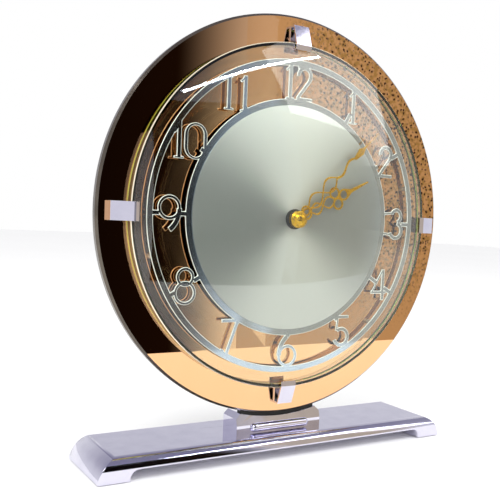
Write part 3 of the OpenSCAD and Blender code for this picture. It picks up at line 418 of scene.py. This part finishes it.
@dataclass(frozen=True)
class ClearGlass(Finish):
    """Clear sheet glass, slumped to a dome. Lamps shine through it on to the dial."""

    def shader(self, tree: bpy.types.NodeTree) -> bpy.types.Node:
        """Builds the glass: a clear shader that lets shadow rays through.

        Args:
            tree: the material's node tree.

        Returns:
            The shader node.
        """
        glass = add_node(
            tree,
            "ShaderNodeBsdfPrincipled",
            inputs={
                "Base Color": linear(self.colour),
                "Roughness": self.roughness,
                "Transmission Weight": 1.0,
                "IOR": self.ior,
            },
        )
        clear = add_node(
            tree, "ShaderNodeBsdfTransparent", inputs={"Color": linear(self.shade)}
        )
        path = add_node(tree, "ShaderNodeLightPath")
        return add_node(
            tree,
            "ShaderNodeMixShader",
            inputs={0: path.outputs["Is Shadow Ray"], 1: glass.outputs[0], 2: clear.outputs[0]},
        )


# Chromium over nickel: a hard bright mirror with a cold cast and faint polishing haze.
CHROME = Finish("polished_chromium", "#E4E2EF", "#D0CEDF", 1.0, 0.045, 0.05, 0.9, 0.0006)
# Rolled edge of a pierced plate, too fine to mirror: drawn pale and nearly matt as a painted
# highlight along its edge.
EDGE_HIGHLIGHT = Finish("painted_edge_highlight", "#FFFFFF", "#F4F4F2", 0.1, 0.35, 0.12, 0.5, 0.002, 0.4)
# Plated brass sheet: a mirror with a cool blue cast.
RING_PLATE = Finish("plated_ring_sheet", "#C4CEDF", "#AAB6CB", 1.0, 0.05, 0.05, 0.8, 0.001)
# Gilded brass: warm yellow with small tarnish clouds.
GILT = Finish("gilded_brass", "#EAB82C", "#BF8C20", 1.0, 0.2, 0.2, 0.6, 0.003)
# Stamped and turned clock brass with a fine grain.
CLOCK_BRASS = Finish("turned_clock_brass", "#C9A256", "#A98243", 1.0, 0.26, 0.18, 0.5, 0.003)
# Zinc-plated steel: grey, slightly cloudy.
ZINC_STEEL = Finish("zinc_plated_steel", "#B9BBBC", "#9C9EA2", 1.0, 0.3, 0.18, 0.6, 0.003)
# Hardened steel polished on a wheel.
POLISHED_STEEL = Finish("polished_steel", "#C6C8CC", "#AFB1B6", 1.0, 0.16, 0.12, 0.5, 0.002)
# Spring steel blued by heat.
BLUED_STEEL = Finish("blued_spring_steel", "#26345E", "#1B2140", 1.0, 0.25, 0.15, 0.7, 0.002)
# Black stoving enamel on steel sheet: a low gloss with orange peel.
ENAMEL = Finish("black_stoving_enamel", "#26231F", "#1B1917", 0.0, 0.34, 0.14, 0.8, 0.02, 0.25)
# Black lacquer on the turned collars.
LACQUER = Finish("black_lacquer", "#0B0A0A", "#141212", 0.0, 0.12, 0.08, 0.6, 0.003, 0.6)
# Wool felt: matt, fuzzy fibres half a millimetre apart.
FELT = Finish("green_wool_felt", "#2B3A2A", "#1C281D", 0.0, 0.92, 0.06, 0.35, 0.12, 0.0, 0.5)
# Moulded rubber strip with a bloom.
RUBBER = Finish("moulded_rubber", "#151414", "#221F1E", 0.0, 0.62, 0.14, 0.5, 0.02)
# Natural nylon, turned.
NYLON = Finish("natural_nylon", "#DCD3BC", "#CFC5AC", 0.0, 0.42, 0.12, 0.6, 0.008, 0.0, 0.0, 1.53)
# Silvered peach glass.
MIRROR = PeachMirror("peach_mirror_glass", "#F2C090", "#EBB785", 1.0, 0.008, 0.0, 1.8, 0.05)
# Ground and polished edge of peach glass: grey-brown, half bright.
MIRROR_EDGE = Finish("ground_glass_edge", "#6E6458", "#3B342C", 0.6, 0.14, 0.12, 0.9, 0.004, 0.4)
# Silvered spun dial; its colour and shade are the painted highlight and painted shade of its
# wedges.
DIAL_SILVER = SpunSilver("spun_silver_dial", "#D3D3D0", "#909191", 0.45, 0.42, 0.08, 0.35, 0.002)
# Dome glass, water clear.
DOME_GLASS = ClearGlass("clear_dome_glass", "#FBFFFA", "#F4F8F0", 0.0, 0.0, 0.0, 1.0, 0.0)
# The same glass seen edge on, where iron turns it yellow-green.
GREEN_EDGE = Finish("green_glass_edge", "#C8DC5A", "#A3B74A", 0.0, 0.12, 0.1, 0.8, 0.003, 0.8)
# The shoulder of the glass, a thin bright line: a cream painted highlight.
SHOULDER_HIGHLIGHT = Finish("painted_shoulder_highlight", "#F6E9CC", "#EADFC0", 0.3, 0.15, 0.08, 0.8, 0.002, 0.8)


def dress(piece: bpy.types.Object, *finishes: Finish) -> None:
    """Gives a piece its materials, one per slot."""
    piece.data.materials.clear()
    for finish in finishes:
        piece.data.materials.append(finish.build())


def soften(
    node: str, width_mm: float, edge_slot: int = -1, segments: int = 2, clamp: bool = True
) -> None:
    """Rounds the sharp edges of a frame node with live modifiers.

    Args:
        node: the node's name.
        width_mm: the width of the rounded edge.
        edge_slot: the material slot of the new faces, or -1 for that of their neighbours.
        segments: how many faces make the rounding.
        clamp: whether short edges narrow the rounding.
    """
    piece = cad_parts[node]
    weld = piece.modifiers.new("joined_seams", "WELD")
    weld.merge_threshold = 0.002 * MM
    bevel = piece.modifiers.new("broken_edges", "BEVEL")
    bevel.width = width_mm * MM
    bevel.segments = segments
    bevel.limit_method = "ANGLE"
    bevel.angle_limit = math.radians(35)
    bevel.use_clamp_overlap = clamp
    bevel.material = edge_slot


def start_clean() -> None:
    """Deselects everything, so that an operator acts on the new piece alone."""
    if bpy.context.object and bpy.context.object.mode != "OBJECT":
        bpy.ops.object.mode_set(mode="OBJECT")
    bpy.ops.object.select_all(action="DESELECT")


def turned(
    name: str,
    outline: list[tuple[float, float]],
    front_y: float,
    centre_z: float,
    steps: int = 192,
) -> bpy.types.Object:
    """Turns a closed outline about the dial's axis, as on a lathe.

    Args:
        name: the piece's name.
        outline: points as (radius, distance in front of front_y), in millimetres.
        front_y: the depth from which the second number is measured, in metres.
        centre_z: the height of the axis, in metres.
        steps: how many facets go round.

    Returns:
        The piece, at the origin, with its place in its mesh.
    """
    start_clean()
    bpy.ops.mesh.primitive_plane_add(size=MM, location=(0, 0, 0))
    piece = bpy.context.object
    piece.name = name
    bpy.ops.object.mode_set(mode="EDIT")
    shape = bmesh.from_edit_mesh(piece.data)
    bmesh.ops.delete(shape, geom=list(shape.verts), context="VERTS")
    corners = [shape.verts.new((r * MM, front_y - w * MM, centre_z)) for r, w in outline]
    for one, two in zip(corners, corners[1:] + corners[:1]):
        shape.edges.new((one, two))
    bmesh.update_edit_mesh(piece.data)
    bpy.ops.mesh.select_all(action="SELECT")
    bpy.ops.mesh.spin(
        steps=steps, angle=2 * math.pi, center=(0, front_y, centre_z), axis=DIAL_AXIS, dupli=False
    )
    bpy.ops.mesh.select_all(action="SELECT")
    bpy.ops.mesh.remove_doubles(threshold=0.002 * MM)
    bpy.ops.mesh.normals_make_consistent(inside=False)
    bpy.ops.object.mode_set(mode="OBJECT")
    bpy.ops.object.shade_smooth_by_angle(angle=math.radians(28))
    return piece


def paint_faces(
    piece: bpy.types.Object, slot: int, test: Callable[[bpy.types.MeshPolygon], bool]
) -> None:
    """Gives the faces that pass a test another material slot.

    Args:
        piece: the piece.
        slot: the slot's number.
        test: takes a face and says whether it changes.
    """
    for face in piece.data.polygons:
        if test(face):
            face.material_index = slot


def cap_outline(
    radius: float, rise: float, base: float, count: int
) -> list[tuple[float, float]]:
    """Points along a shallow dome from its edge to its top.

    Args:
        radius: the dome's radius at its edge.
        rise: how much higher its top is.
        base: the height of its edge.
        count: how many spans it has.

    Returns:
        The points as (radius, height).
    """
    ball = (radius * radius + rise * rise) / (2 * rise)
    half = math.asin(radius / ball)
    return [
        (
            ball * math.sin(half * (1 - i / count)),
            base + rise - ball + ball * math.cos(half * (1 - i / count)),
        )
        for i in range(count + 1)
    ]


@dataclass
class BaseGroup:
    """The plated base, the saddle that holds the disc, its pad, bar, felts and screws."""

    plated: tuple[str, ...] = ("base", "saddle", "saddle_bar")
    edge_mm: float = 0.35

    def dress(self) -> None:
        """Gives the base group its finishes and its softened edges."""
        for node in self.plated:
            dress(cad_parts[node], CHROME)
        soften("base", self.edge_mm)
        soften("saddle", self.edge_mm)
        dress(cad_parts["foot_felts"], FELT)
        dress(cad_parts["saddle_pad"], RUBBER)
        dress(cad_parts["base_screws"], ZINC_STEEL)
        log.info("base group dressed")


@dataclass
class MirrorGroup:
    """The mirror disc, its felt and backing plate, and the four clips that hold the glass."""

    bevel_mm: float = 1.1
    hole_mm: float = 5.0
    stud_hole_mm: float = 2.0
    stud_inset_mm: float = 3.6
    drill_mm: float = 12.0
    rear_bevel_mm: float = 0.4
    bore_bevel_mm: float = 0.3
    face_limit: float = 0.97

    def build(self) -> bpy.types.Object:
        """Models the mirror disc with a bevelled rim and its drilled holes."""
        low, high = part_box("mirror_disc")
        radius = (high.x - low.x) / 2 / MM
        thick = (high.y - low.y) / MM
        centre_z = (low.z + high.z) / 2
        outline = [
            (self.hole_mm, -thick),
            (radius - self.rear_bevel_mm, -thick),
            (radius, -thick + self.rear_bevel_mm),
            (radius, -self.bevel_mm),
            (radius - self.bevel_mm, 0.0),
            (self.hole_mm + self.bore_bevel_mm, 0.0),
            (self.hole_mm, -self.bore_bevel_mm),
        ]
        disc = turned("mirror_glass", outline, low.y, centre_z, 256)
        self.drill(disc, centre_z)
        dress(disc, MIRROR, MIRROR_EDGE)
        paint_faces(disc, Slot.EDGE, lambda face: abs(face.normal.y) < self.face_limit)
        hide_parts("mirror_disc")
        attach(disc, "case")
        log.info("piece mirror_glass on body case")
        return disc

    def drill(self, disc: bpy.types.Object, centre_z: float) -> None:
        """Drills the four stud holes through the disc.

        Args:
            disc: the mirror disc.
            centre_z: the height of its centre.
        """
        low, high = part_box("clip_nuts")
        at = (high.x - low.x) / 2 - self.stud_inset_mm * MM
        mid_y = (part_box("mirror_disc")[0].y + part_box("mirror_disc")[1].y) / 2
        for turn in range(4):
            angle = turn * math.pi / 2
            start_clean()
            bpy.ops.mesh.primitive_cylinder_add(
                vertices=32,
                radius=self.stud_hole_mm * MM,
                depth=self.drill_mm * MM,
                location=(at * math.cos(angle), mid_y, centre_z + at * math.sin(angle)),
                rotation=(math.pi / 2, 0, 0),
            )
            drill = bpy.context.object
            start_clean()
            disc.select_set(True)
            bpy.context.view_layer.objects.active = disc
            cut = disc.modifiers.new("stud_hole", "BOOLEAN")
            cut.object = drill
            cut.operation = "DIFFERENCE"
            cut.solver = "EXACT"
            bpy.ops.object.modifier_apply(modifier=cut.name)
            bpy.data.objects.remove(drill)

    def dress(self) -> None:
        """Gives the sheets, clips and nuts their finishes."""
        dress(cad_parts["felt_gasket"], FELT)
        for node in ("backing_plate", "rear_bracket"):
            dress(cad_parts[node], ENAMEL)
        for node in ("bracket_screws", "clip_nuts"):
            dress(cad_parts[node], ZINC_STEEL)
        # The clips' rounded edges carry a pale painted highlight.
        dress(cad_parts["glass_clips"], CHROME, EDGE_HIGHLIGHT)
        soften("glass_clips", 0.3, edge_slot=Slot.EDGE)
        log.info("mirror group dressed")


@dataclass
class DialGroup:
    """The domed glass, the pierced chapter ring and the spun dial centre."""

    glass_mm: float = 1.8
    rim_mm: float = 3.6
    spans: int = 28
    dial_edge_mm: float = 0.3
    foot_mm: float = 0.9
    dial_bore_mm: float = 4.45
    shoulder_mm: tuple[float, float] = (0.38, 0.05)

    def build_glass(self) -> bpy.types.Object:
        """Slumps the domed glass with its upright, polished rim."""
        low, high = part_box("domed_glass")
        radius = (high.x - low.x) / 2 / MM
        front = (high.y - low.y) / MM
        centre_z = (low.z + high.z) / 2
        inner_rise = front - self.glass_mm - self.rim_mm
        inner = cap_outline(radius - self.glass_mm, inner_rise, self.rim_mm, self.spans)
        ball = ((radius - self.glass_mm) ** 2 + inner_rise ** 2) / (2 * inner_rise) + self.glass_mm
        edge_h = front - ball + math.sqrt(ball ** 2 - (radius - 0.4) ** 2)
        outer_half = math.asin((radius - 0.4) / ball)
        outer = [
            (
                ball * math.sin(outer_half * i / self.spans),
                front - ball + ball * math.cos(outer_half * i / self.spans),
            )
            for i in range(self.spans + 1)
        ]
        outline = (
            [(radius - self.glass_mm, 0.0)]
            + inner[:-1]
            + [(0.0, inner[-1][1])]
            + [(0.0, front)]
            + outer[1:]
            + [(radius, edge_h - 0.45), (radius, self.foot_mm), (radius, 0.0)]
        )
        glass = turned("dome_glass", outline, high.y, centre_z, 256)
        dress(glass, DOME_GLASS, GREEN_EDGE, SHOULDER_HIGHLIGHT)
        paint_faces(glass, Slot.EDGE, lambda face: self.is_foot(face, radius, high.y, centre_z))
        # The shoulder faces get the cream painted highlight.
        paint_faces(
            glass, Slot.SHOULDER_HIGHLIGHT, lambda face: self.is_shoulder(face, radius, high.y, centre_z)
        )
        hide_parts("domed_glass")
        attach(glass, "case")
        log.info("piece dome_glass on body case")
        return glass

    def is_foot(
        self, face: bpy.types.MeshPolygon, radius: float, back_y: float, centre_z: float
    ) -> bool:
        """Says whether a face is on the ground foot of the glass, next to the mirror."""
        reach = math.hypot(face.center.x, face.center.z - centre_z) / MM
        return reach > radius - self.glass_mm and (back_y - face.center.y) / MM < self.foot_mm

    def is_shoulder(
        self, face: bpy.types.MeshPolygon, radius: float, back_y: float, centre_z: float
    ) -> bool:
        """Says whether a face is on the narrow polished shoulder between wall and dome."""
        reach = math.hypot(face.center.x, face.center.z - centre_z) / MM
        forward = (back_y - face.center.y) / MM
        inner, outer = self.shoulder_mm
        return radius - inner < reach < radius - outer and forward > self.rim_mm

    def build_dial(self) -> bpy.types.Object:
        """Turns the dial centre, with a rolled edge and a fine step near it."""
        low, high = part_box("dial_centre")
        radius = (high.x - low.x) / 2 / MM
        thick = (high.y - low.y) / MM
        centre_z = (low.z + high.z) / 2
        bore = self.dial_bore_mm
        outline = [
            (bore, -thick),
            (radius - 0.15, -thick),
            (radius, -thick + 0.15),
            (radius, -self.dial_edge_mm),
            (radius - 0.1, -0.1),
            (radius - self.dial_edge_mm, 0.0),
            (bore, 0.0),
        ]
        dial = turned("spun_dial", outline, low.y, centre_z, 256)
        dress(dial, DIAL_SILVER)
        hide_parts("dial_centre")
        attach(dial, "case")
        log.info("piece spun_dial on body case")
        return dial

    def dress(self) -> None:
        """Gives the ring, its spacers and the centre fittings their finishes."""
        # The ring's rounded edges carry a pale painted highlight.
        dress(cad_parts["chapter_ring"], RING_PLATE, EDGE_HIGHLIGHT)
        soften("chapter_ring", 0.3, edge_slot=Slot.EDGE, clamp=False)
        dress(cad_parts["ring_spacers"], ZINC_STEEL)
        dress(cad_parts["centre_sleeve"], NYLON)
        dress(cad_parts["centre_tube"], CLOCK_BRASS)
        dress(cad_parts["tube_nut"], LACQUER)
        log.info("dial group dressed")


@dataclass
class HandGroup:
    """The pierced hands, their collars and the domed nut."""

    nut_rings: tuple[float, ...] = (0.5, 1.15, 1.8)
    ring_depth_mm: float = 0.22

    def build_nut(self) -> bpy.types.Object:
        """Turns the stepped and domed gilt nut that holds the hands."""
        low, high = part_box("hand_nut")
        radius = (high.x - low.x) / 2 / MM
        tall = (high.y - low.y) / MM
        centre_z = (low.z + high.z) / 2
        outline: list[tuple[float, float]] = [(0.0, 0.0), (radius, 0.0)]
        for height in self.nut_rings:
            outline += [
                (radius - 0.05 * height, height - 0.2),
                (radius - self.ring_depth_mm - 0.05 * height, height),
                (radius - 0.05 * height - 0.05, height + 0.2),
            ]
        base = self.nut_rings[-1] + 0.3
        outline += cap_outline(radius - 0.35, tall - base, base, 12)[:-1]
        outline.append((0.0, tall))
        nut = turned("domed_nut", outline, high.y, centre_z, 64)
        dress(nut, GILT)
        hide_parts("hand_nut")
        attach(nut, "minute_train")
        log.info("piece domed_nut on body minute_train")
        return nut

    def dress(self) -> None:
        """Gives the hands their gilding and the collars their lacquer."""
        for node in ("hour_hand", "minute_hand"):
            dress(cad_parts[node], GILT)
            soften(node, 0.14)
        for node in ("hour_collar", "minute_collar"):
            dress(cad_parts[node], LACQUER)
        log.info("hand group dressed")


@dataclass
class MovementGroup:
    """The wheels, plates, springs and keys of the rear-wound movement, and its drum."""

    brass: tuple[str, ...] = (
        "hour_wheel", "minute_wheel", "cannon_pinion", "movement_posts", "front_plate",
        "back_plate", "plate_pillars", "centre_wheel", "third_wheel", "fourth_wheel",
        "escape_wheel", "balance_wheel", "intermediate_wheel", "spring_barrel", "set_knob",
        "winding_key",
    )
    steel: tuple[str, ...] = (
        "minute_wheel_stud", "winding_arbor", "case_screws", "post_nuts", "pillar_screws",
        "cover_screws",
    )
    polished: tuple[str, ...] = (
        "set_shaft", "pallet_lever", "regulator_lever", "ratchet_wheel", "click_pawl",
        "click_spring",
    )
    blued: tuple[str, ...] = ("hairspring", "mainspring")
    enamelled: tuple[str, ...] = ("drum_case", "back_cover")

    def dress(self) -> None:
        """Gives the movement and its drum their finishes."""
        groups = (
            (self.brass, CLOCK_BRASS),
            (self.steel, ZINC_STEEL),
            (self.polished, POLISHED_STEEL),
            (self.blued, BLUED_STEEL),
            (self.enamelled, ENAMEL),
        )
        for nodes, finish in groups:
            for node in nodes:
                dress(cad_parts[node], finish)
        soften("set_knob", 0.2)
        soften("winding_key", 0.3)
        soften("back_cover", 0.3)
        soften("drum_case", 0.3)
        soften("cover_screws", 0.15)
        log.info("movement group dressed")


@dataclass
class Studio:
    """The pale floor, soft lights, reflecting cards and the camera."""

    yaw: float = 0.576
    pitch: float = -0.096
    roll: float = 0.047
    eye: Vector = field(default_factory=lambda: Vector((-0.19564, -0.32562, 0.11341)))
    lens_mm: float = 54.39
    shift: tuple[float, float] = (-0.09, 0.09)

    def camera(self) -> None:
        """Adds the camera, turned by its yaw, pitch and roll."""
        ahead = Vector((
            math.sin(self.yaw) * math.cos(self.pitch),
            math.cos(self.yaw) * math.cos(self.pitch),
            math.sin(self.pitch),
        ))
        right = Vector((math.cos(self.yaw), -math.sin(self.yaw), 0))
        up = right.cross(ahead)
        side = right * math.cos(self.roll) + up * math.sin(self.roll)
        top = up * math.cos(self.roll) - right * math.sin(self.roll)
        data = bpy.data.cameras.new("camera")
        data.lens = self.lens_mm
        data.sensor_width = 36
        data.shift_x, data.shift_y = self.shift
        data.clip_start = 0.01
        camera = bpy.data.objects.new("camera", data)
        bpy.context.scene.collection.objects.link(camera)
        turn = Matrix((side, top, -ahead)).transposed().to_4x4()
        camera.matrix_world = Matrix.Translation(self.eye) @ turn
        bpy.context.scene.camera = camera

    def floor(self) -> None:
        """Lays the plain pale floor under the clock."""
        start_clean()
        bpy.ops.mesh.primitive_plane_add(size=8, location=(0, 0, 0))
        floor = bpy.context.object
        floor.name = "floor"
        dress(floor, Finish("matt_white_table", "#FFFFFF", "#FCFCFC", 0.0, 0.9, 0.02, 40.0, 0.0))

    def card(
        self,
        name: str,
        size: tuple[float, float],
        place: tuple[float, float, float],
        aim: tuple[float, float, float],
        shades: tuple[str, str],
        glow: float = 1.0,
        fade: float = 0.0,
    ) -> bpy.types.Object:
        """Hangs a card that shows only in reflections.

        Args:
            name: the card's name.
            size: its width and height in metres.
            place: its centre.
            aim: a direction that it faces.
            shades: its colours at its left and right edge.
            glow: how brightly they shine.
            fade: the share of its width over which its right edge melts away.

        Returns:
            The card.
        """
        start_clean()
        bpy.ops.mesh.primitive_plane_add(size=1, location=place)
        card = bpy.context.object
        card.name = name
        card.rotation_euler = Vector(aim).to_track_quat("Z", "Y").to_euler()
        card.scale = (size[0], size[1], 1)
        card.visible_camera = False
        card.visible_shadow = False
        card.visible_diffuse = False
        material = bpy.data.materials.new(name)
        material.use_nodes = True
        tree = material.node_tree
        tree.nodes.clear()
        across = add_node(
            tree, "ShaderNodeSeparateXYZ", inputs={"Vector": object_place(tree)}
        ).outputs["X"]
        colour = blend_colour(
            tree, ramp(tree, across, 0.5, -0.5), linear(shades[0]), linear(shades[1])
        )
        shine = add_node(
            tree, "ShaderNodeEmission", inputs={"Color": colour, "Strength": glow}
        )
        surface = shine
        if fade > 0:
            surface = add_node(tree, "ShaderNodeMixShader", inputs={
                0: ramp(tree, across, -0.5, fade - 0.5),
                1: add_node(tree, "ShaderNodeBsdfTransparent").outputs[0],
                2: shine.outputs[0],
            })
        add_node(tree, "ShaderNodeOutputMaterial", inputs={"Surface": surface.outputs[0]})
        card.data.materials.append(material)
        return card

    def lamp(
        self,
        name: str,
        place: tuple[float, float, float],
        aim: tuple[float, float, float],
        size: float,
        watts: float,
    ) -> None:
        """Adds a soft square lamp.

        Args:
            name: the lamp's name.
            place: where it hangs.
            aim: the point it shines at.
            size: its side in metres.
            watts: its power.
        """
        data = bpy.data.lights.new(name, "AREA")
        data.size = size
        data.energy = watts
        lamp = bpy.data.objects.new(name, data)
        lamp.location = place
        lamp.rotation_euler = (Vector(aim) - Vector(place)).to_track_quat("-Z", "Y").to_euler()
        bpy.context.scene.collection.objects.link(lamp)

    def lay_along(self, card: bpy.types.Object, start: Vector, end: Vector) -> None:
        """Turns a card so that its long side runs from one point to another, facing the dial.

        Args:
            card: the card.
            start: where its long side starts.
            end: where its long side ends.
        """
        along = (end - start).normalized()
        facing = (Vector((0, 0, 0.16)) - (start + end) / 2).normalized()
        across = facing.cross(along).normalized()
        facing = along.cross(across)
        card.rotation_euler = Matrix((along, across, facing)).transposed().to_euler()
        card.location = (start + end) / 2

    def sky(self) -> None:
        """Surrounds the clock with plain white for the eye and soft grey for reflections."""
        world = bpy.data.worlds.new("studio")
        bpy.context.scene.world = world
        world.use_nodes = True
        tree = world.node_tree
        tree.nodes.clear()
        direction = add_node(tree, "ShaderNodeTexCoord").outputs["Generated"]
        split = add_node(tree, "ShaderNodeSeparateXYZ", inputs={"Vector": direction})
        height = ramp(tree, split.outputs["Z"], -0.1, 0.9)
        soft = blend_colour(tree, height, linear("#F0F0F4"), linear("#8A889E"))
        path = add_node(tree, "ShaderNodeLightPath")
        plain = add_node(
            tree,
            "ShaderNodeMath",
            {"operation": "MAXIMUM"},
            {0: path.outputs["Is Camera Ray"], 1: path.outputs["Is Diffuse Ray"]},
        ).outputs[0]
        colour = blend_colour(tree, plain, soft, (1.0, 1.0, 1.0, 1.0))
        light = add_node(tree, "ShaderNodeBackground", inputs={"Color": colour, "Strength": 1.0})
        add_node(tree, "ShaderNodeOutputWorld", inputs={"Surface": light.outputs[0]})

    def build(self) -> None:
        """Sets up the whole studio."""
        bpy.context.scene.view_settings.view_transform = "Standard"
        self.camera()
        self.floor()
        self.sky()
        self.card(
            "black_card", (0.27, 0.31), (0.015, -0.285, 0.155), (0, 1, 0),
            ("#040303", "#1E130B"), 1.0, 0.35,
        )
        self.card(
            "warm_card", (0.40, 0.31), (0.32, -0.285, 0.155), (0, 1, 0), ("#D6C8B2", "#C2B298"),
            0.9, 0.5,
        )
        tube = self.card(
            "lamp_tube", (0.49, 0.007), (0.147, -0.431, 0.521), (-0.147, 0.40, -0.35),
            ("#FFFFFF", "#E4ECFF"), 60.0,
        )
        self.lay_along(tube, Vector((-0.073, -0.533, 0.480)), Vector((0.367, -0.329, 0.562)))
        self.lamp("key", (-0.8, -0.7, 1.1), (0, 0, 0.1), 0.6, 9.0)
        self.lamp("fill", (0.9, -0.8, 0.8), (0, 0, 0.1), 0.8, 5.0)
        log.info("studio ready")


def main() -> None:
    """Builds the sub-assemblies in order and reports each."""
    logging.basicConfig(level=logging.INFO, format="%(message)s")
    Studio().build()
    BaseGroup().dress()
    mirror = MirrorGroup()
    mirror.build()
    mirror.dress()
    dial = DialGroup()
    dial.build_dial()
    dial.dress()
    dial.build_glass()
    hands = HandGroup()
    hands.build_nut()
    hands.dress()
    MovementGroup().dress()


if __name__ == "__main__":
    main()
